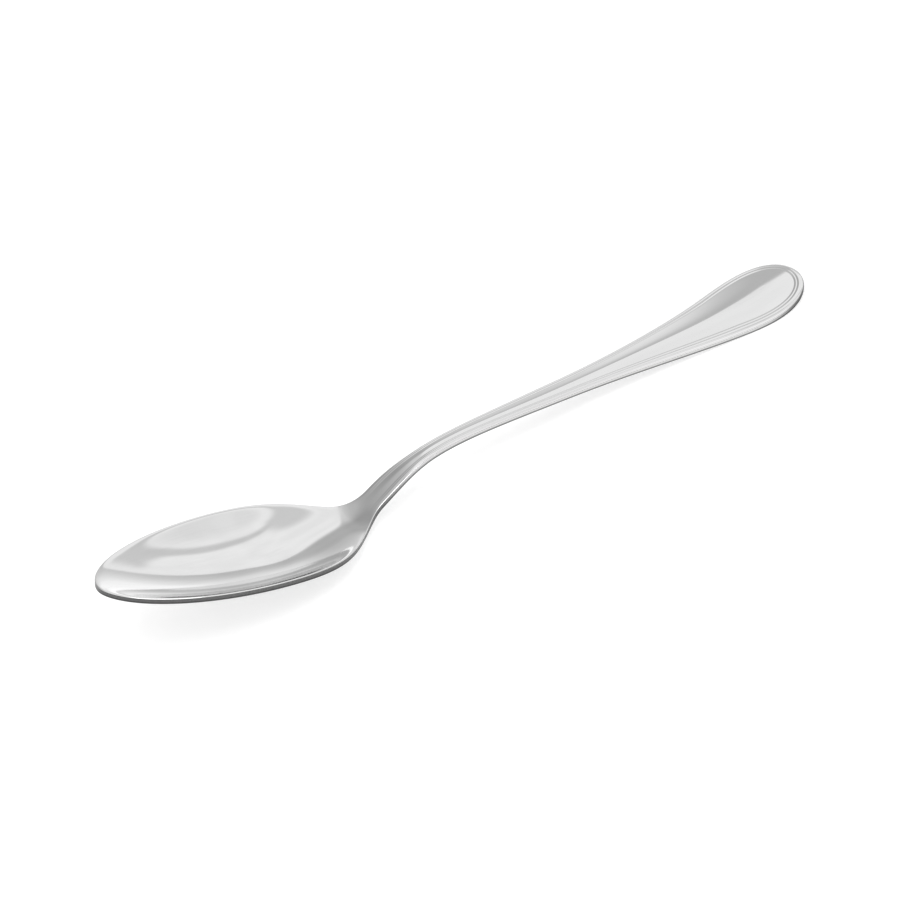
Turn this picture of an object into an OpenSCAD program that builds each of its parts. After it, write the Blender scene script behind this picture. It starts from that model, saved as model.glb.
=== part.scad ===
// Tablespoon with a beaded border round the sunk panel of a flared handle.
// Sizes are in millimetres, angles in degrees. The spoon is laid out with its rim level, the tip
// at x = 0 and the handle towards +x, then tilted into the pose that it takes on a table.

/* [Overall] */
// Length from the bowl tip to the handle end, along the level rim
plan_length = 203; // [180:1:240]

/* [Bowl] */
// Width of the bowl across the rim
bowl_width = 44; // [36:0.2:52]
// Distance from the tip to the widest part of the bowl
bowl_front = 41.4; // [34:0.2:50]
// Distance from the widest part of the bowl to the root of the neck
bowl_back = 36.8; // [34:0.2:50]
// Depth of the hollow below the rim
bowl_depth = 7.4; // [5:0.1:11]
// Thickness of the metal at the rim
rim_thickness = 1.4; // [0.9:0.05:2]
// Thickness of the metal at the bottom of the hollow
bowl_thickness = 1.8; // [1.2:0.05:3]
// Width of the soft lip between the rim and the hollow
rim_lip = 1.9; // [0.8:0.1:2.8]
// Rounding of the edges of the rim
rim_round = 0.22; // [0.1:0.02:0.4]

/* [Neck] */
// Width at the root of the neck
root_width = 8.4; // [6.6:0.1:10]
// Width at the narrowest part of the neck
neck_width = 6.3; // [4.6:0.1:7]
// Distance from the root of the neck to its narrowest part
neck_run = 15.4; // [12:0.2:22]
// Thickness of the neck at its edges
neck_edge = 1.3; // [1:0.1:2]
// Further thickness under the middle of the neck
neck_belly = 1.7; // [0.8:0.1:2.4]
// Crown of the neck above its edges
neck_crown = 0.3; // [0.1:0.05:0.8]
// Distance from the bend up at the heel of the bowl to the root of the neck
heel_run = 6.3; // [4:0.1:9]
// Length of the bend up at the heel of the bowl
heel_bend = 1.5; // [1:0.1:3]
// Slope of the neck between its two bends
neck_angle = 42; // [36:0.5:50]
// Distance from the root of the neck to the bend over its top
crest_run = 8.8; // [6:0.1:12]
// Length of the bend over the top of the neck
crest_bend = 6.4; // [4:0.1:9]

/* [Handle] */
// Width of the slim part of the handle
grip_width = 9.4; // [7:0.1:11]
// Distance from the narrowest part of the neck to the slim part of the handle
grip_run = 39.6; // [30:0.2:50]
// Angle by which each side of the slim part flares
grip_flare = 2.8; // [1:0.1:6]
// Slope of the middle of the handle
handle_angle = 8; // [4:0.1:11]
// Width of the handle where the rounded end begins
shoulder_width = 23; // [18:0.1:28]
// Angle by which each side flares where the rounded end begins
shoulder_flare = 11.6; // [6:0.1:14]
// Length of the rounded end
end_length = 22.6; // [15:0.2:27]
// Distance from the bend up near the handle end to the tip of the handle
end_run = 1.5; // [0:0.1:8]
// Length of the bend up near the handle end
end_bend = 11.6; // [8:0.2:16]
// Slope that the handle end bends up to
end_angle = 40; // [28:0.5:46]
// Thickness of the handle at its edges
handle_edge = 1.1; // [0.95:0.05:1.6]
// Rounding of the edges of the neck and the handle
edge_round = 0.3; // [0.2:0.02:0.32]

/* [Border] */
// Width of the border along the sides where the rounded end begins
border_width = 4; // [3:0.1:5.4]
// Width of the border at the tip of the handle
border_end = 2.3; // [1.8:0.1:3]
// Rise of the bead from the edge to the first step, where the rounded end begins
bead_rise = 0.4; // [0.2:0.02:0.5]
// Fall of the two small steps from the bead to the panel, where the rounded end begins
panel_drop = 0.3; // [0.16:0.02:0.4]
// Crown of the panel where the rounded end begins
panel_crown = 1.25; // [0.8:0.05:2.4]
// Rounding of the ridge along the middle of the panel, where the rounded end begins
ridge_round = 4.4; // [2:0.1:8]

/* [Hidden] */
x_root = bowl_front + bowl_back;
x_heel = x_root - heel_run;
x_crest = x_root + crest_run;
x_neck = x_root + neck_run;
x_grip = x_neck + grip_run;
x_shoulder = plan_length - end_length;
x_end = plan_length - end_run;
x_tip_fan = bowl_front / 2;
front_share = pow(bowl_back / bowl_front, 2);
fan_share = 0.45;
lip_share = 2 * rim_lip / bowl_width;
tip_power = 0.55;
heel_power = 2.46;
end_power = 2.66;
fullness = -0.06;
bead_share = 0.42;
thread_share = 0.33;
step_share = 0.15;
step_soft = 0.025;
tip_steps = 12;
bowl_steps = 20;
neck_steps = 8;
handle_steps = 22;
end_steps = 14;
edge_cols = 2;
border_cols = 16;
panel_cols = 6;
cols = edge_cols + border_cols + panel_cols;
ring_size = 4 * cols + 2;
cut_root = tip_steps + bowl_steps;
cut_neck = cut_root + neck_steps;
cut_shoulder = cut_neck + handle_steps;
last = cut_shoulder + end_steps;

// Value between two stations that meets a height and a slope at each of them
function blend(x, x0, y0, s0, x1, y1, s1) =
    let (h = x1 - x0, t = (x - x0) / h)
    y0 * (1 + 2 * t) * pow(1 - t, 2) + h * s0 * t * pow(1 - t, 2)
    + y1 * t * t * (3 - 2 * t) + h * s1 * t * t * (t - 1);

// Smooth step from 0 to 1
function ease(t) =
    let (c = min(max(t, 0), 1))
    pow(c, 3) * (c * (6 * c - 15) + 10);

// Rise of a line that is level, bends up at a place over a length and then climbs one to one
function bend(x, at, run) = run * ln(1 + exp((x - at) / run));

// Slope of that line
function bend_slope(x, at, run) = 1 / (1 + exp((at - x) / run));

// Half width of the outline; behind the widest part the bowl keeps the curvature of its front
function half_width(x) =
    let (
        s = pow((x - bowl_front) / bowl_back, 2),
        m = tip_power / heel_power * bowl_width / (bowl_width - root_width) * front_share
    )
    x <= bowl_front ? bowl_width / 2 * pow(1 - pow((bowl_front - x) / bowl_front, 2), tip_power)
    : x <= x_root ? root_width / 2 + (bowl_width - root_width) / 2
        * pow(max(0, 1 - s * (m + (1 - m) * s)), heel_power)
    : x <= x_neck ? blend(x, x_root, root_width / 2, 0, x_neck, neck_width / 2, 0)
    : x <= x_grip ? blend(x, x_neck, neck_width / 2, 0, x_grip, grip_width / 2, tan(grip_flare))
    : x <= x_shoulder ? blend(x, x_grip, grip_width / 2, tan(grip_flare),
        x_shoulder, shoulder_width / 2, tan(shoulder_flare))
    : (shoulder_width / 2 + tan(shoulder_flare) * (x - x_shoulder))
        * sqrt(max(0, 1 - pow((x - x_shoulder) / end_length, end_power)));

// Height of the edge line above the rim
function edge_height(x) =
    tan(neck_angle) * bend(x, x_heel, heel_bend)
    + (tan(handle_angle) - tan(neck_angle)) * bend(x, x_crest, crest_bend)
    + (tan(end_angle) - tan(handle_angle)) * bend(x, x_end, end_bend);

// Upright distance that goes with one millimetre measured square to the edge line
function upright(x) =
    let (
        slope = tan(neck_angle) * bend_slope(x, x_heel, heel_bend)
            + (tan(handle_angle) - tan(neck_angle)) * bend_slope(x, x_crest, crest_bend)
            + (tan(end_angle) - tan(handle_angle)) * bend_slope(x, x_end, end_bend)
    )
    sqrt(1 + slope * slope);

// Thickness at the edges, from the rim through the neck to the handle
function edge_thickness(x) =
    rim_thickness + (neck_edge - rim_thickness) * ease((x - x_heel) / heel_run)
    + (handle_edge - neck_edge) * ease((x - x_root) / (x_grip - x_root));

// How far the neck has taken over from the bowl
function past_bowl(x) = ease((x - x_heel) / (x_neck - x_heel));

// Share across the width, 1 on the centre line and 0 at the edge
function inward(x, y) = 1 - pow(min(1, abs(y) / max(half_width(x), 0.001)), 2);

// Share of the full depth of the hollow
function hollow(x, y) =
    let (
        s = min(1, (x - bowl_front) / bowl_back),
        f = front_share,
        along = x <= bowl_front ? 1 - pow((bowl_front - x) / bowl_front, 2)
            : 1 - s * s * (f + s * (4 - 2 * f - s * (3 - f))),
        q = along * inward(x, y)
    )
    q * (1 + fullness * (1 - q));

// The same share on the upper side, where it starts level at the lip
function lipped(x, y) =
    let (q = hollow(x, y))
    (1 + lip_share) * q * q / (q + lip_share);

// Crown across the neck, then across the panel, down to nothing at the tip of the handle
function crown(x) =
    let (
        e = ease((x - x_neck) / (x_shoulder - x_neck)),
        f = pow(max(0, (x - x_shoulder) / end_length), end_power)
    )
    neck_crown * past_bowl(x) * (1 - e) + panel_crown * e * e * max(0, 1 - f);

// Share of the crown, which has two nearly flat sides and a ridge that is softer where the handle is wider
function ridge(x, y) =
    let (
        h = max(half_width(x), 0.001),
        share = min(1, abs(y) / h),
        soft = ridge_round * h / pow(shoulder_width / 2, 2),
        whole = norm([1, soft])
    )
    (whole - norm([share, soft])) / (whole - soft);

// Even step from 0 to 1 across the border
function step(t, at) = (bend(t, at, step_soft) - bend(t, at + step_share, step_soft)) / step_share;

// Border profile from the edge inwards: rounded bead, then two steps with a flat thread between them
function border(x, t, wide) =
    let (
        bead = 1 - pow(max(0, 1 - t / bead_share), 2),
        steps = (step(t, bead_share) + step(t, bead_share + thread_share)) / 2
    )
    past_bowl(x) * wide / border_width * (bead_rise * bead - panel_drop * steps);

function top_height(x, y, t, wide) =
    edge_height(x) - bowl_depth * lipped(x, y) + crown(x) * ridge(x, y) + border(x, t, wide);

function under_height(x, y) =
    edge_height(x) - edge_thickness(x) * upright(x)
    - (bowl_depth + bowl_thickness - rim_thickness) * hollow(x, y)
    - neck_belly * upright(x) * pow(inward(x, y), 2)
        * ease((x - bowl_front) / (x_neck - bowl_front))
        * (1 - ease((x - x_neck) / (x_shoulder - x_neck)));

// Stations along the outline: position on the edge and on the centre line
function edge_at(i) =
    i <= tip_steps ? x_tip_fan * pow(i / tip_steps, 1.9)
    : i <= cut_root ? x_tip_fan + (x_root - x_tip_fan) * (i - tip_steps) / bowl_steps
    : i <= cut_neck ? x_root + neck_run * (i - cut_root) / neck_steps
    : i <= cut_shoulder ? x_neck + (x_shoulder - x_neck) * (i - cut_neck) / handle_steps
    : plan_length - end_length * pow((last - i) / end_steps, 2);

function centre_at(i) =
    i < tip_steps ? x_tip_fan * (fan_share + (1 - fan_share) * pow(i / tip_steps, 1.9))
    : i <= cut_shoulder ? edge_at(i)
    : plan_length - end_length * (fan_share + (1 - fan_share) * pow((last - i) / end_steps, 2));

function border_at(i) =
    let (
        x = edge_at(i),
        w = half_width(min(max(x, x_tip_fan), x_shoulder)),
        end_share = pow(max(0, (x - x_shoulder) / end_length), 3)
    )
    border_width * sqrt(2 * w / shoulder_width)
    - (border_width - border_end) * end_share;

// Points of one side of a station, from the edge to the centre line
function side(i, sign, upper) =
    let (
        ex = edge_at(i),
        ey = half_width(ex),
        run = [centre_at(i) - ex, -ey],
        reach = norm(run),
        round = rim_round + (edge_round - rim_round) * past_bowl(ex),
        wide = min(border_at(i), 0.8 * reach)
    )
    [for (j = [0:cols])
        let (
            d = j <= edge_cols ? round * (1 - cos(45 * j))
                : j <= edge_cols + border_cols
                ? round + (wide - round) * (j - edge_cols) / border_cols
                : wide + (reach - wide) * (j - edge_cols - border_cols) / panel_cols,
            t = min(1, max(0, (d - round) / (wide - round))),
            fall = j < edge_cols ? round * (1 - sin(45 * j)) : 0,
            x = ex + run[0] * d / reach,
            y = ey + run[1] * d / reach,
            sx = ex + run[0] * max(d, round) / reach,
            sy = ey + run[1] * max(d, round) / reach
        )
        [x, sign * y, upper ? top_height(sx, sy, t, wide) - fall : under_height(sx, sy) + fall]
    ];

function backwards(list) = [for (k = [len(list) - 1:-1:0]) list[k]];

function all_but_last(list) = [for (k = [0:1:len(list) - 2]) list[k]];

function is_point(i) = i == 0 || i == last;

// Ring of points round a station; at the two ends both sides fall together
function ring(i) =
    is_point(i) ? concat(side(i, 1, true), side(i, 1, false))
    : concat(
        side(i, 1, true), backwards(all_but_last(side(i, -1, true))),
        side(i, -1, false), backwards(all_but_last(side(i, 1, false)))
    );

level_rings = [for (i = [0:last]) ring(i)];

// Resting pose: the slope of the line under the spoon that touches the bowl and the handle
under_line = [for (i = [0:last]) [centre_at(i), under_height(centre_at(i), 0)]];

function support(slope) = min([for (p = under_line) p[1] - slope * (p[0] - plan_length / 2)]);

function rest_slope(low, high, turns) =
    let (a = low + (high - low) / 3, b = high - (high - low) / 3)
    turns == 0 ? (low + high) / 2
    : support(a) < support(b) ? rest_slope(a, high, turns - 1)
    : rest_slope(low, b, turns - 1);

tilt = atan(rest_slope(-0.2, 0.6, 40));

function tilted(p) = [
    p[0] * cos(tilt) + p[2] * sin(tilt),
    p[1],
    p[2] * cos(tilt) - p[0] * sin(tilt)
];

tilted_rings = [for (r = level_rings) [for (p = r) tilted(p)]];
x_low = min([for (r = tilted_rings) for (p = r) p[0]]);
x_high = max([for (r = tilted_rings) for (p = r) p[0]]);
z_low = min([for (r = tilted_rings) for (p = r) p[2]]);
rings = [for (r = tilted_rings) [for (p = r) p - [(x_low + x_high) / 2, 0, z_low]]];

// Place of a ring point in the list of its station
function place(i, r) =
    !is_point(i) ? r
    : r <= 2 * cols ? min(r, 2 * cols - r)
    : cols + 1 + min(r - 2 * cols - 1, 4 * cols + 1 - r);

function start_of(i, from) =
    i == from ? 0 : len(rings[from]) + (i - from - 1) * ring_size;

// Flat face across a station, between its upper and lower points
function cap(i, from, flip) =
    let (o = start_of(i, from), low = 3 * cols + 1)
    [for (k = [-cols:cols - 1])
        let (
            a = o + cols + k,
            b = o + cols + k + 1,
            c = o + (low - k - 1) % ring_size,
            d = o + (low - k) % ring_size
        )
        for (f = [[a, b, c], [a, c, d]]) flip ? [f[2], f[1], f[0]] : f
    ];

// Closed solid between two stations
module between(from, to) {
    skin = [for (i = [from:to - 1])
        for (r = [0:ring_size - 1])
            let (
                s = (r + 1) % ring_size,
                a = start_of(i, from) + place(i, r),
                b = start_of(i, from) + place(i, s),
                c = start_of(i + 1, from) + place(i + 1, s),
                d = start_of(i + 1, from) + place(i + 1, r)
            )
            for (f = [[a, b, c], [a, c, d]]) f
    ];
    polyhedron(
        points = [for (i = [from:to]) for (p = rings[i]) p],
        faces = concat(
            skin,
            is_point(from) ? [] : cap(from, from, true),
            is_point(to) ? [] : cap(to, from, false)
        )
    );
}

module bowl() {
    color([0.82, 0.83, 0.84]) between(0, cut_root);
}

module neck() {
    color([0.76, 0.77, 0.79]) between(cut_root, cut_neck);
}

module handle() {
    color([0.8, 0.81, 0.82]) between(cut_neck, last);
}

bowl();
neck();
handle();
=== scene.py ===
import math

import bpy
import numpy as np
from mathutils import Matrix, Vector


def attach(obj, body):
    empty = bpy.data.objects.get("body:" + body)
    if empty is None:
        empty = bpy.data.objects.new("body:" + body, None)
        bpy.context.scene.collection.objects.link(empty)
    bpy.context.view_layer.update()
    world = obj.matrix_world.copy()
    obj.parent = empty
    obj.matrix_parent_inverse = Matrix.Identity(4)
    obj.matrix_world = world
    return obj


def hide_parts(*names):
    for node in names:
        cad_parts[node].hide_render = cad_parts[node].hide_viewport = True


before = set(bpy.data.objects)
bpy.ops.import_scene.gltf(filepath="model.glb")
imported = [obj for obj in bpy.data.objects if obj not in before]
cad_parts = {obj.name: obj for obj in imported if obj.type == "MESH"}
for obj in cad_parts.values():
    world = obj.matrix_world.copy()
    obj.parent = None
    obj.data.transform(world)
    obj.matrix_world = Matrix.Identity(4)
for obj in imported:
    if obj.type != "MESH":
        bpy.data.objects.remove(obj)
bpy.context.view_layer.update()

# Sizes of the spoon in millimetres and degrees, the same as in the solids.
PLAN_LENGTH = 203
# Bowl.
BOWL_WIDTH, BOWL_FRONT, BOWL_BACK, BOWL_DEPTH = 44, 41.4, 36.8, 7.4
RIM_THICKNESS, BOWL_THICKNESS, RIM_LIP, RIM_ROUND = 1.4, 1.8, 1.9, 0.22
TIP_POWER, HEEL_POWER, FULLNESS = 0.55, 2.46, -0.06
# Neck.
ROOT_WIDTH, NECK_WIDTH, NECK_RUN = 8.4, 6.3, 15.4
NECK_EDGE, NECK_BELLY, NECK_CROWN = 1.3, 1.7, 0.3
HEEL_RUN, HEEL_BEND, NECK_ANGLE, CREST_RUN, CREST_BEND = 6.3, 1.5, 42, 8.8, 6.4
# Handle.
GRIP_WIDTH, GRIP_RUN, GRIP_FLARE, HANDLE_ANGLE = 9.4, 39.6, 2.8, 8
SHOULDER_WIDTH, SHOULDER_FLARE, END_LENGTH, END_POWER = 23, 11.6, 22.6, 2.66
END_RUN, END_BEND, END_ANGLE, HANDLE_EDGE, EDGE_ROUND = 1.5, 11.6, 40, 1.1, 0.3
# Border and panel of the handle. BORDER_REACH is the most of the half width that the border takes.
BORDER_WIDTH, BORDER_END, BORDER_REACH = 4, 2.3, 0.8
BEAD_RISE, PANEL_DROP, PANEL_CROWN, RIDGE_ROUND = 0.4, 0.3, 1.25, 4.4
BEAD_SHARE, THREAD_SHARE, STEP_SHARE, STEP_SOFT = 0.42, 0.33, 0.15, 0.025

# Places along the spoon, from the tip of the bowl.
X_ROOT = BOWL_FRONT + BOWL_BACK
X_HEEL = X_ROOT - HEEL_RUN
X_CREST = X_ROOT + CREST_RUN
X_NECK = X_ROOT + NECK_RUN
X_GRIP = X_NECK + GRIP_RUN
X_SHOULDER = PLAN_LENGTH - END_LENGTH
X_END = PLAN_LENGTH - END_RUN
X_TIP_FAN = BOWL_FRONT / 2
FRONT_SHARE = (BOWL_BACK / BOWL_FRONT) ** 2
LIP_SHARE = 2 * RIM_LIP / BOWL_WIDTH

# Stations along the spoon (tip, bowl, neck, handle, end) and points across it (edge, border, panel).
CAD_STATIONS, CAD_COLUMNS = (12, 20, 8, 22, 14), (2, 16, 6)
STATIONS, COLUMNS = (40, 120, 60, 150, 60), (6, 34, 14)
# The stations fan out over both ends, where they crowd towards the outline.
FAN_SHARE, TIP_CROWDING, END_CROWDING = 0.45, 1.9, 2

# Ground edge, dark partly with painted shade: how sharply it stops along the spoon and at the end of
# the handle, how fast that changes, and how much of its upper half is polished away along the
# handle, leaving painted shade below.
EDGE_SHARPNESS, END_SHARPNESS, SHARPNESS_RATE = 12, 0.7, 1.5
UPPER_POLISH = 0.85

# Slopes between which the tilt at rest is searched, and the rounds of that search.
LEAST_TILT, MOST_TILT, TILT_ROUNDS = -0.2, 0.6, 40

# Guards against dividing by nothing and against overflow.
LEAST_WIDTH, LEAST_SPREAD, MOST_POWER = 0.001, 0.5, 200
MM_PER_M = 1000


def slope(degrees):
    return math.tan(math.radians(degrees))


def blend(x, x0, y0, s0, x1, y1, s1):
    """Cubic from height y0 and slope s0 at x0 to height y1 and slope s1 at x1."""
    h = x1 - x0
    t = (x - x0) / h
    return (y0 * (1 + 2 * t) * (1 - t) ** 2 + h * s0 * t * (1 - t) ** 2
            + y1 * t * t * (3 - 2 * t) + h * s1 * t * t * (t - 1))


def ease(t):
    c = np.clip(t, 0, 1)
    return c ** 3 * (c * (6 * c - 15) + 10)


def bend(x, at, run):
    """Level line that turns to a slope of 1 at a place, softly over a run."""
    return run * np.logaddexp(0, (x - at) / run)


def bend_slope(x, at, run):
    return 1 / (1 + np.exp(np.clip((at - x) / run, -MOST_POWER, MOST_POWER)))


def half_width(x):
    front = np.clip((BOWL_FRONT - x) / BOWL_FRONT, 0, 1) ** 2
    tip = BOWL_WIDTH / 2 * (1 - front) ** TIP_POWER
    s = np.clip((x - BOWL_FRONT) / BOWL_BACK, 0, 1) ** 2
    spread = BOWL_WIDTH - ROOT_WIDTH
    m = TIP_POWER / HEEL_POWER * BOWL_WIDTH / spread * FRONT_SHARE
    heel = ROOT_WIDTH / 2 + spread / 2 * np.maximum(0, 1 - s * (m + (1 - m) * s)) ** HEEL_POWER
    neck = blend(x, X_ROOT, ROOT_WIDTH / 2, 0, X_NECK, NECK_WIDTH / 2, 0)
    grip = blend(x, X_NECK, NECK_WIDTH / 2, 0, X_GRIP, GRIP_WIDTH / 2, slope(GRIP_FLARE))
    flare = blend(x, X_GRIP, GRIP_WIDTH / 2, slope(GRIP_FLARE),
                  X_SHOULDER, SHOULDER_WIDTH / 2, slope(SHOULDER_FLARE))
    t = np.clip((x - X_SHOULDER) / END_LENGTH, 0, 1)
    end = SHOULDER_WIDTH / 2 + slope(SHOULDER_FLARE) * (x - X_SHOULDER)
    end = end * np.sqrt(1 - t ** END_POWER)
    return np.select([x <= BOWL_FRONT, x <= X_ROOT, x <= X_NECK, x <= X_GRIP, x <= X_SHOULDER],
                     [tip, heel, neck, grip, flare], end)


def edge_line(x, curve):
    return (slope(NECK_ANGLE) * curve(x, X_HEEL, HEEL_BEND)
            + (slope(HANDLE_ANGLE) - slope(NECK_ANGLE)) * curve(x, X_CREST, CREST_BEND)
            + (slope(END_ANGLE) - slope(HANDLE_ANGLE)) * curve(x, X_END, END_BEND))


def edge_height(x):
    return edge_line(x, bend)


def upright(x):
    """Height of a layer of thickness 1 that lies along the slope of the edge."""
    return np.sqrt(1 + edge_line(x, bend_slope) ** 2)


def edge_thickness(x):
    return (RIM_THICKNESS + (NECK_EDGE - RIM_THICKNESS) * ease((x - X_HEEL) / HEEL_RUN)
            + (HANDLE_EDGE - NECK_EDGE) * ease((x - X_ROOT) / (X_GRIP - X_ROOT)))


def past_bowl(x):
    return ease((x - X_HEEL) / (X_NECK - X_HEEL))


def edge_round(x):
    return RIM_ROUND + (EDGE_ROUND - RIM_ROUND) * past_bowl(x)


def across_share(x, y):
    """0 on the centre line and 1 on the outline."""
    return np.minimum(1, np.abs(y) / np.maximum(half_width(x), LEAST_WIDTH))


def inward(x, y):
    return 1 - across_share(x, y) ** 2


def hollow(x, y):
    s = np.clip((x - BOWL_FRONT) / BOWL_BACK, 0, 1)
    f = FRONT_SHARE
    along = np.where(x <= BOWL_FRONT, 1 - ((BOWL_FRONT - x) / BOWL_FRONT) ** 2,
                     1 - s * s * (f + s * (4 - 2 * f - s * (3 - f))))
    q = along * inward(x, y)
    return q * (1 + FULLNESS * (1 - q))


def lipped(x, y):
    q = hollow(x, y)
    return (1 + LIP_SHARE) * q * q / (q + LIP_SHARE)


def crown(x):
    e = ease((x - X_NECK) / (X_SHOULDER - X_NECK))
    f = np.clip((x - X_SHOULDER) / END_LENGTH, 0, 1) ** END_POWER
    return NECK_CROWN * past_bowl(x) * (1 - e) + PANEL_CROWN * e ** 2 * (1 - f)


def ridge(x, y):
    """Section of the crown: 1 on the centre line, 0 on the outline, softer where it is wider."""
    soft = RIDGE_ROUND * np.maximum(half_width(x), LEAST_WIDTH) / (SHOULDER_WIDTH / 2) ** 2
    whole = np.hypot(1, soft)
    return (whole - np.hypot(across_share(x, y), soft)) / (whole - soft)


def step(t, at):
    return (bend(t, at, STEP_SOFT) - bend(t, at + STEP_SHARE, STEP_SOFT)) / STEP_SHARE


def border(x, t, wide):
    """Bead at the edge (t = 0), then two small steps down to the panel (t = 1)."""
    bead = 1 - np.maximum(0, 1 - t / BEAD_SHARE) ** 2
    steps = (step(t, BEAD_SHARE) + step(t, BEAD_SHARE + THREAD_SHARE)) / 2
    return past_bowl(x) * wide / BORDER_WIDTH * (BEAD_RISE * bead - PANEL_DROP * steps)


def top_height(x, y, t, wide):
    return (edge_height(x) - BOWL_DEPTH * lipped(x, y) + crown(x) * ridge(x, y)
            + border(x, t, wide))


def under_height(x, y):
    belly = NECK_BELLY * ease((x - BOWL_FRONT) / (X_NECK - BOWL_FRONT))
    belly = belly * (1 - ease((x - X_NECK) / (X_SHOULDER - X_NECK))) * inward(x, y) ** 2
    return (edge_height(x) - (edge_thickness(x) + belly) * upright(x)
            - (BOWL_DEPTH + BOWL_THICKNESS - RIM_THICKNESS) * hollow(x, y))


def stations(steps):
    """Where each station meets the outline, and where it meets the centre line."""
    tip, bowl, neck, handle, end = steps
    near_tip = np.linspace(0, 1, tip + 1) ** TIP_CROWDING
    near_end = (1 - np.arange(1, end + 1) / end) ** END_CROWDING
    middle = np.concatenate([
        X_TIP_FAN + (X_ROOT - X_TIP_FAN) * np.arange(1, bowl + 1) / bowl,
        X_ROOT + NECK_RUN * np.arange(1, neck + 1) / neck,
        X_NECK + (X_SHOULDER - X_NECK) * np.arange(1, handle + 1) / handle,
    ])
    edge = np.concatenate([X_TIP_FAN * near_tip, middle, PLAN_LENGTH - END_LENGTH * near_end])
    centre = np.concatenate([
        X_TIP_FAN * (FAN_SHARE + (1 - FAN_SHARE) * near_tip), middle,
        PLAN_LENGTH - END_LENGTH * (FAN_SHARE + (1 - FAN_SHARE) * near_end),
    ])
    return edge, centre


def half_sections(steps, columns):
    """Points of the +y half of each station: x, y, upper z, lower z, and how far each is ground
    (rough and dark, partly painted shade).
    """
    edge_cols, border_cols, panel_cols = columns
    ex, cx = stations(steps)
    ex, cx = ex[:, None], cx[:, None]
    ey = half_width(ex)
    reach = np.hypot(cx - ex, ey)
    rounding = edge_round(ex)
    past_shoulder = (ex - X_SHOULDER) / END_LENGTH
    w = half_width(np.clip(ex, X_TIP_FAN, X_SHOULDER))
    wide = (BORDER_WIDTH * np.sqrt(2 * w / SHOULDER_WIDTH)
            - (BORDER_WIDTH - BORDER_END) * np.maximum(0, past_shoulder) ** 3)
    wide = np.minimum(wide, BORDER_REACH * reach)
    turn = np.linspace(0, math.pi / 2, edge_cols + 1)
    # Distance in from the outline.
    d = np.concatenate([
        rounding * (1 - np.cos(turn)),
        rounding + (wide - rounding) * np.arange(1, border_cols + 1) / border_cols,
        wide + (reach - wide) * np.arange(1, panel_cols + 1) / panel_cols,
    ], axis=1)
    flat = np.zeros(border_cols + panel_cols)
    fall = rounding * np.concatenate([1 - np.sin(turn), flat])
    t = np.clip((d - rounding) / (wide - rounding), 0, 1)
    share = d / reach
    seat = np.minimum(1, np.maximum(d, rounding) / reach)
    x, y = ex + (cx - ex) * share, ey * (1 - share)
    sx, sy = ex + (cx - ex) * seat, ey * (1 - seat)
    sharpness = (EDGE_SHARPNESS
                 + (END_SHARPNESS - EDGE_SHARPNESS) * ease(SHARPNESS_RATE * past_shoulder))
    ground = np.concatenate([np.cos(turn) ** sharpness, flat * ex], axis=1)
    return x, y, top_height(sx, sy, t, wide) - fall, under_height(sx, sy) + fall, ground


def rest_pose():
    """Tilt and offset that lay the spoon on the table, from the same stations as the solids."""
    x, _, upper, lower, _ = half_sections(CAD_STATIONS, CAD_COLUMNS)
    line_x = stations(CAD_STATIONS)[1]
    line_z = under_height(line_x, 0 * line_x)

    def support(k):
        return np.min(line_z - k * (line_x - PLAN_LENGTH / 2))

    low, high = LEAST_TILT, MOST_TILT
    for _ in range(TILT_ROUNDS):
        a, b = low + (high - low) / 3, high - (high - low) / 3
        low, high = (a, high) if support(a) < support(b) else (low, b)
    tilt = math.atan((low + high) / 2)
    xs = np.concatenate([x.ravel(), x.ravel()])
    zs = np.concatenate([upper.ravel(), lower.ravel()])
    rx = xs * math.cos(tilt) + zs * math.sin(tilt)
    rz = zs * math.cos(tilt) - xs * math.sin(tilt)
    return tilt, np.array([(rx.min() + rx.max()) / 2, 0, rz.min()])


TILT, OFFSET = rest_pose()


def turned(v):
    """A direction of the level spoon as it lies on the table."""
    v = np.asarray(v, float)
    return np.stack([v[..., 0] * math.cos(TILT) + v[..., 2] * math.sin(TILT), v[..., 1],
                     v[..., 2] * math.cos(TILT) - v[..., 0] * math.sin(TILT)], axis=-1)


def placed(p):
    """A point of the level spoon, in millimetres, as it lies on the table, in metres."""
    return (turned(p) - OFFSET) / MM_PER_M


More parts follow.
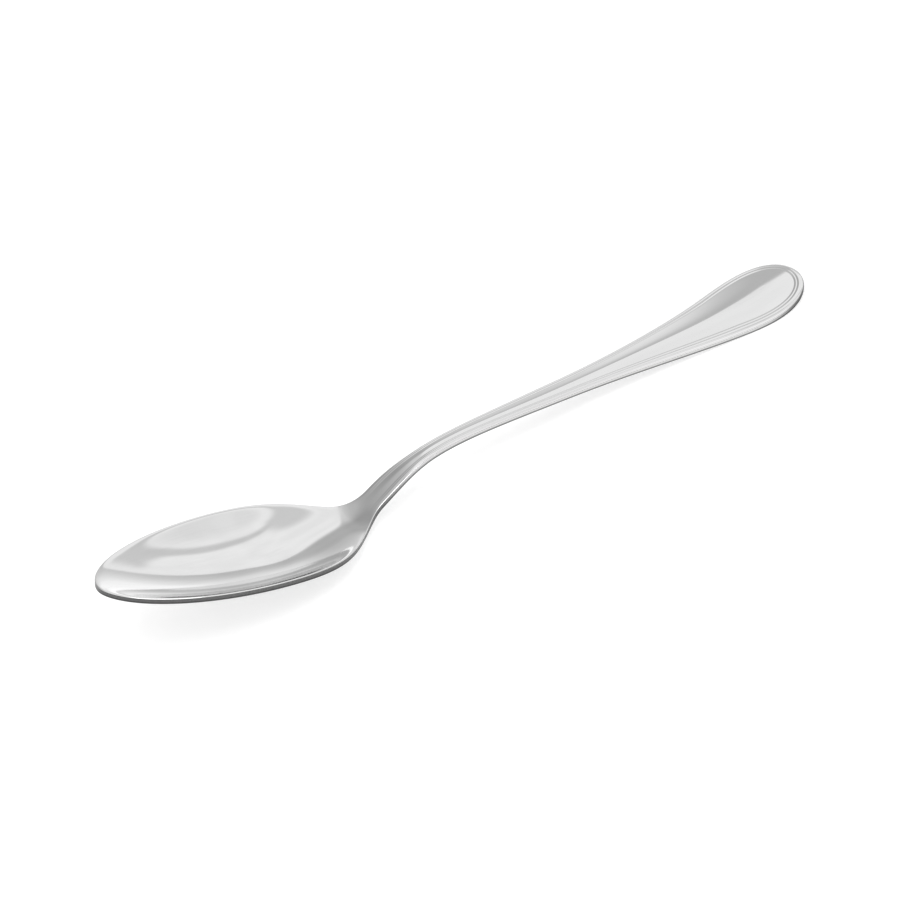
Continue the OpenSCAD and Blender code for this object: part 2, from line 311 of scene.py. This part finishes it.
def spoon_mesh():
    x, y, upper, lower, ground = half_sections(STATIONS, COLUMNS)
    n, cols = x.shape[0], x.shape[1] - 1
    ring_size = 4 * cols + 2

    def loop(upper_half, upper_mirror, lower_half, lower_mirror):
        """A ring for each station: over the top from +y to -y, then back underneath."""
        return np.concatenate([upper_half, upper_mirror[:, -2::-1],
                               lower_mirror, lower_half[:, -2::-1]], axis=1)

    points = np.stack([loop(x, x, x, x), loop(y, -y, y, -y), loop(upper, upper, lower, lower)],
                      axis=-1)
    # Along the handle the upper half of the ground edge is polished, so the painted shade of its
    # dark tone stays on the lower half.
    on_handle = past_bowl(x) * (1 - ease((x - X_SHOULDER) / END_LENGTH))
    upper_ground = ground * (1 - UPPER_POLISH * on_handle)
    grounds = loop(upper_ground, upper_ground, ground, ground)
    share = np.abs(y) / np.maximum(half_width(x), LEAST_SPREAD)
    across = loop(share, -share, share, -share)

    # The first and last stations lie on the centre line, so their two halves share points.
    r = np.arange(ring_size)
    folded = np.where(r <= 2 * cols, np.minimum(r, 2 * cols - r),
                      cols + 1 + np.minimum(r - 2 * cols - 1, 4 * cols + 1 - r))
    index = np.empty((n, ring_size), int)
    keep, count = [], 0
    for i in range(n):
        if i in (0, n - 1):
            index[i] = count + folded
            kept = np.concatenate([r[:cols + 1], r[2 * cols + 1:3 * cols + 2]])
        else:
            index[i] = count + r
            kept = r
        keep.append(i * ring_size + kept)
        count += len(kept)
    keep = np.concatenate(keep)
    nxt = np.roll(index, -1, axis=1)
    faces = np.stack([index[:-1], nxt[:-1], nxt[1:], index[1:]], axis=-1).reshape(-1, 4)

    flat_points = points.reshape(-1, 3)[keep]
    mesh = bpy.data.meshes.new("spoon")
    mesh.from_pydata(placed(flat_points).tolist(), [], faces.tolist())
    mesh.polygons.foreach_set("use_smooth", np.ones(len(faces), bool))
    # Ground mask: rough finish of the ground edge and its dark tone, which is partly painted shade.
    finish_and_shade = mesh.attributes.new("ground", "FLOAT", "POINT")
    finish_and_shade.data.foreach_set("value", grounds.reshape(-1)[keep])
    # Millimetres along the spoon, share of the width across it, and 1 underneath.
    flow = np.zeros((len(keep), 3))
    flow[:, 0] = flat_points[:, 0]
    flow[:, 1] = across.reshape(-1)[keep]
    flow[:, 2] = np.tile(np.arange(ring_size) > 2 * cols, n)[keep]
    course = mesh.attributes.new("flow", "FLOAT_VECTOR", "POINT")
    course.data.foreach_set("vector", flow.ravel())
    mesh.update()
    return mesh


class Nodes:
    """Short calls to add and link shader nodes."""

    def __init__(self, tree):
        self.tree = tree
        tree.nodes.clear()

    def add(self, kind, inputs=None, **settings):
        node = self.tree.nodes.new(kind)
        for name, value in settings.items():
            setattr(node, name, value)
        for name, value in (inputs or {}).items():
            socket = node.inputs[name]
            if hasattr(value, "is_linked"):
                self.tree.links.new(value, socket)
            else:
                socket.default_value = value
        return node

    def math(self, operation, *values):
        node = self.add("ShaderNodeMath", dict(enumerate(values)), operation=operation)
        return node.outputs[0]

    def step(self, value, low, high, to_low=0.0, to_high=1.0, shape="SMOOTHSTEP"):
        node = self.add("ShaderNodeMapRange", {"Value": value, "From Min": low, "From Max": high,
                                               "To Min": to_low, "To Max": to_high},
                        interpolation_type=shape)
        return node.outputs["Result"]

    def mix(self, factor, a, b):
        node = self.add("ShaderNodeMix", {0: factor, 2: a, 3: b}, data_type="FLOAT")
        return node.outputs[0]

    def noise(self, vector, scale, detail, roughness=0.5):
        node = self.add("ShaderNodeTexNoise", {"Vector": vector, "Scale": scale, "Detail": detail,
                                               "Roughness": roughness})
        return node.outputs["Fac"]


def steel():
    polish_rough, line_rough, cloud_rough, ground_rough = 0.03, 0.06, 0.03, 0.38
    polish_tone, line_tone = 0.76, 0.08
    # The ground edge's dark tone is partly its rougher finish and partly painted shade.
    ground_tone_and_shade, grain_tone = 0.04, 0.2
    # Shares of the ground edge's tone underneath and at the end, which are painted shade, and of its
    # grain on the handle.
    under_painted_shade, end_painted_shade, handle_grain = 0.4, 0.25, 0.2
    before_end = 8

    material = bpy.data.materials.new("polished_steel")
    material.use_nodes = True
    n = Nodes(material.node_tree)
    ground = n.add("ShaderNodeAttribute", attribute_name="ground").outputs["Fac"]
    flow = n.add("ShaderNodeAttribute", attribute_name="flow").outputs["Vector"]
    place = n.add("ShaderNodeTexCoord").outputs["Object"]
    along, _, low_side = n.add("ShaderNodeSeparateXYZ", {0: flow}).outputs

    # Fine polishing lines that follow the length of the spoon and fan out over the heel.
    lines_at = n.add("ShaderNodeMapping", {"Vector": flow, "Scale": (0.05, 70.0, 1.0)})
    lines = n.noise(lines_at.outputs[0], 1.0, 4.0, 0.7)
    # Broad, faint variation of the polish.
    cloud = n.noise(place, 90.0, 2.0)
    # Grain of the ground edge.
    grain = n.noise(place, 5200.0, 2.0)

    polish = n.math("MULTIPLY_ADD", lines, line_rough, polish_rough)
    polish = n.math("ADD", polish, n.math("MULTIPLY", cloud, cloud_rough))
    rough = n.math("ADD", n.math("MULTIPLY", polish, n.math("SUBTRACT", 1.0, ground)),
                   n.math("MULTIPLY", ground, ground_rough))

    tone = n.math("MULTIPLY_ADD", lines, line_tone, polish_tone)
    # Ground edge tone: partly its real rough finish, partly painted shade.
    dark = n.math("MULTIPLY_ADD", grain, grain_tone, ground_tone_and_shade)
    # Painted shade: the ground edge is darker underneath, where its lower rounding faces the
    # shadowed floor.
    dark = n.math("MULTIPLY", dark, n.step(low_side, 0.45, 1.0, 1.0, under_painted_shade))
    # Painted shade: the ground edge darkens towards the end of the handle, where the end face is in
    # shade.
    dark = n.math("MULTIPLY", dark,
                  n.step(along, X_SHOULDER, PLAN_LENGTH - before_end, 1.0, end_painted_shade))
    value = n.mix(ground, tone, dark)
    colour = n.add("ShaderNodeCombineColor", {"Red": value, "Green": value, "Blue": value})

    line_bump = n.add("ShaderNodeBump", {"Strength": 0.25, "Distance": 0.000002, "Height": lines})
    grain_height = n.math("MULTIPLY", n.math("MULTIPLY", grain, ground),
                          n.step(along, X_HEEL, X_NECK, 1.0, handle_grain))
    bump = n.add("ShaderNodeBump", {"Strength": 0.6, "Distance": 0.00003, "Height": grain_height,
                                    "Normal": line_bump.outputs[0]})
    shader = n.add("ShaderNodeBsdfPrincipled", {"Base Color": colour.outputs[0], "Metallic": 1.0,
                                                "Roughness": rough, "Normal": bump.outputs[0]})
    n.add("ShaderNodeOutputMaterial", {"Surface": shader.outputs[0]})
    return material


def seen_directly(n):
    """1 for rays from the camera, a reflection or a refraction, 0 for rays that light things."""
    path = n.add("ShaderNodeLightPath")
    seen = n.math("MAXIMUM", path.outputs["Is Camera Ray"], path.outputs["Is Glossy Ray"])
    return n.math("MAXIMUM", seen, path.outputs["Is Transmission Ray"])


def floor():
    size, drop = 4.0, 0.00005
    grey, glow_strength = 0.62, 0.54
    mesh = bpy.data.meshes.new("floor")
    mesh.from_pydata([(-size, -size, 0), (size, -size, 0), (size, size, 0), (-size, size, 0)],
                     [], [(0, 1, 2, 3)])
    obj = bpy.data.objects.new("floor", mesh)
    obj.location.z = -drop
    bpy.context.scene.collection.objects.link(obj)
    material = bpy.data.materials.new("pale_floor")
    material.use_nodes = True
    n = Nodes(material.node_tree)
    diffuse = n.add("ShaderNodeBsdfDiffuse", {"Color": (grey, grey, grey, 1.0)})
    strength = n.math("MULTIPLY", seen_directly(n), glow_strength)
    glow = n.add("ShaderNodeEmission", {"Strength": strength})
    both = n.add("ShaderNodeAddShader", {0: diffuse.outputs[0], 1: glow.outputs[0]})
    n.add("ShaderNodeOutputMaterial", {"Surface": both.outputs[0]})
    mesh.materials.append(material)


def studio():
    """Soft surround: softbox far right, grey wall far left, and light from behind the camera."""
    far_wall, softbox, softbox_end = 0.5, 0.985, 0.88
    seam_level, ceiling_level, patch_level, top_level = 0.68, 0.7, 1.1, 1.05

    world = bpy.data.worlds.new("studio")
    bpy.context.scene.world = world
    world.use_nodes = True
    n = Nodes(world.node_tree)
    direction = n.add("ShaderNodeTexCoord").outputs["Generated"]
    xyz = n.add("ShaderNodeSeparateXYZ", {0: direction}).outputs
    azimuth = n.math("MULTIPLY", n.math("ARCTAN2", xyz[0], xyz[1]), 180 / math.pi)
    elevation = n.math("MULTIPLY", n.math("ARCSINE", xyz[2]), 180 / math.pi)

    def curve(value, points):
        """Value read off a smooth line through points, from the first place to the last."""
        low, high = points[0][0], points[-1][0]
        top = max(p[1] for p in points)
        node = n.add("ShaderNodeFloatCurve", {"Value": n.step(value, low, high, shape="LINEAR")})
        line = node.mapping.curves[0]
        for at, height in points[1:-1]:
            line.points.new((at - low) / (high - low), height / top)
        line.points[0].location = (0.0, points[0][1] / top)
        line.points[-1].location = (1.0, points[-1][1] / top)
        for point in line.points:
            point.handle_type = "AUTO_CLAMPED"
        node.mapping.update()
        return n.math("MULTIPLY", node.outputs[0], top)

    def window(value, low, high, soft):
        return n.math("MULTIPLY", n.step(value, low - soft / 2, low + soft / 2),
                      n.step(value, high - soft / 2, high + soft / 2, 1.0, 0.0))

    # Wall: light at the horizon on the right, greyer above it, with a dull corner on the left.
    right = curve(elevation, [(0, 1.12), (6, 1.1), (9, 0.98), (13.5, 0.82), (18.5, 0.66),
                              (23, 0.6), (28, 0.57), (90, 0.57)])
    middle = curve(elevation, [(0, 0.8), (4, 0.82), (7, 0.88), (9.5, 0.9), (13, 0.87), (16, 0.8),
                               (19, 0.72), (23, 0.62), (28, 0.56), (90, 0.56)])
    corner = curve(elevation, [(0, 0.58), (8, 0.5), (14, 0.46), (20, 0.43), (33, 0.43),
                               (38, 0.52), (43, 0.64), (50, 0.72), (56, 0.78), (66, 0.7),
                               (90, 0.9)])
    corner = n.math("MULTIPLY", corner,
                    curve(azimuth, [(-90, 1.6), (-32, 1.5), (-20, 0.95), (-4, 0.88), (14, 1.12),
                                    (40, 1.12)]))
    level = n.mix(n.step(azimuth, 31, 38), middle, right)
    level = n.mix(n.step(azimuth, 14, 23), corner, level)
    level = n.mix(n.step(azimuth, 58, 72), level, far_wall)
    # Softbox on the right, above a lower edge that climbs and blurs to the left.
    edge = curve(azimuth, [(-20, 60), (0, 58), (10, 53), (15, 46), (18, 39), (21, 34.8),
                           (25, 31.6), (29, 29.4), (33, 28.4), (40, 26.4), (46.5, 23), (52, 20),
                           (57, 17.5), (70, 14), (110, 10)])
    blur = n.step(azimuth, 16, 27, 4.0, 0.7)
    box = n.step(n.math("DIVIDE", n.math("SUBTRACT", elevation, edge), blur), -1.0, 1.0)
    box = n.math("MULTIPLY", box, n.step(azimuth, 6, 18))
    level = n.mix(box, level, n.step(azimuth, 74, 84, softbox, softbox_end))
    # Greyer seam beside it and dimmer ceiling above it.
    seam_at = curve(elevation, [(20, 60), (24, 63.5), (30, 70), (34, 72), (40, 70.5), (50, 68.5),
                                (60, 64), (69, 58), (90, 50)])
    off_seam = n.math("ABSOLUTE", n.math("SUBTRACT", azimuth, seam_at))
    seam = n.math("MULTIPLY", n.step(off_seam, 1.5, 5.0, 1.0, 0.0), window(elevation, 23, 70, 6))
    level = n.mix(seam, level, seam_level)
    ceiling = n.math("MULTIPLY", window(azimuth, 24, 66, 10), window(elevation, 63, 74, 6))
    level = n.mix(ceiling, level, ceiling_level)
    # Light patch high on the right.
    patch = n.math("MULTIPLY", window(azimuth, 94, 140, 10), window(elevation, 54, 76, 5))
    level = n.mix(patch, level, patch_level)
    # Behind the camera the room is dark near the horizon, with a light above it that fades upwards.
    behind = n.step(xyz[1], -0.5, 0.0, 1.0, 0.0)
    room = curve(elevation, [(0, 0.3), (20, 0.3), (34, 0.85), (38, 1.3), (50, 1.3), (58, 1.1),
                             (70, 1.0), (90, 1.0)])
    level = n.mix(behind, level, room)
    # Top light.
    level = n.mix(n.step(elevation, 72, 77), level, top_level)
    # Faint unevenness of all the surfaces around.
    cloud = n.noise(direction, 7.0, 3.0)
    level = n.math("MULTIPLY", level, n.step(cloud, 0.3, 0.7, 0.96, 1.03))
    background = n.add("ShaderNodeBackground", {"Color": (1.0, 1.0, 1.0, 1.0), "Strength": level})
    n.add("ShaderNodeOutputWorld", {"Surface": background.outputs[0]})

    # Lamp overhead, towards the camera and to the left, aimed at the spoon.
    lamp_at = Vector((-0.25, -0.45, 1.1))
    lamp = bpy.data.lights.new("overhead", "AREA")
    lamp.shape, lamp.size, lamp.size_y, lamp.energy = "RECTANGLE", 0.9, 0.6, 4.0
    obj = bpy.data.objects.new("overhead", lamp)
    obj.location = lamp_at
    obj.rotation_euler = (-lamp_at).to_track_quat("-Z", "Y").to_euler()
    bpy.context.scene.collection.objects.link(obj)


def camera():
    """The photograph's view, fitted to the level spoon, with lengths in millimetres."""
    turn, height, roll = math.radians(31.0617), math.radians(24.9524), math.radians(0.9792)
    px_per_mm, distance, frame_px = 4.02, 1600.0, 900
    # A point of the spoon and where it is in the photograph.
    point, point_px = np.array([100.0, 0.0, 10.0]), np.array([450.6926, 454.5384])
    right = np.array([math.cos(turn), -math.sin(turn), 0])
    up = np.array([math.sin(turn) * math.sin(height), math.cos(turn) * math.sin(height),
                   math.cos(height)])
    back = np.cross(right, up)
    right, up = (math.cos(roll) * right - math.sin(roll) * up,
                 math.sin(roll) * right + math.cos(roll) * up)
    offset_px = frame_px / 2 - point_px
    aim = point + (right * offset_px[0] - up * offset_px[1]) / px_per_mm
    data = bpy.data.cameras.new("camera")
    data.sensor_width = 36.0
    data.lens = px_per_mm * distance / frame_px * data.sensor_width
    data.clip_start, data.clip_end = 0.05, 50.0
    obj = bpy.data.objects.new("camera", data)
    basis = Matrix([Vector(turned(v)) for v in (right, up, back)]).transposed().to_4x4()
    obj.matrix_world = Matrix.Translation(Vector(placed(aim + distance * back))) @ basis
    bpy.context.scene.collection.objects.link(obj)
    bpy.context.scene.camera = obj


spoon = bpy.data.objects.new("spoon", spoon_mesh())
bpy.context.scene.collection.objects.link(spoon)
spoon.data.materials.append(steel())
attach(spoon, "root")
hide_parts("bowl", "neck", "handle")

floor()
studio()
camera()
bpy.context.scene.view_settings.view_transform = "Standard"
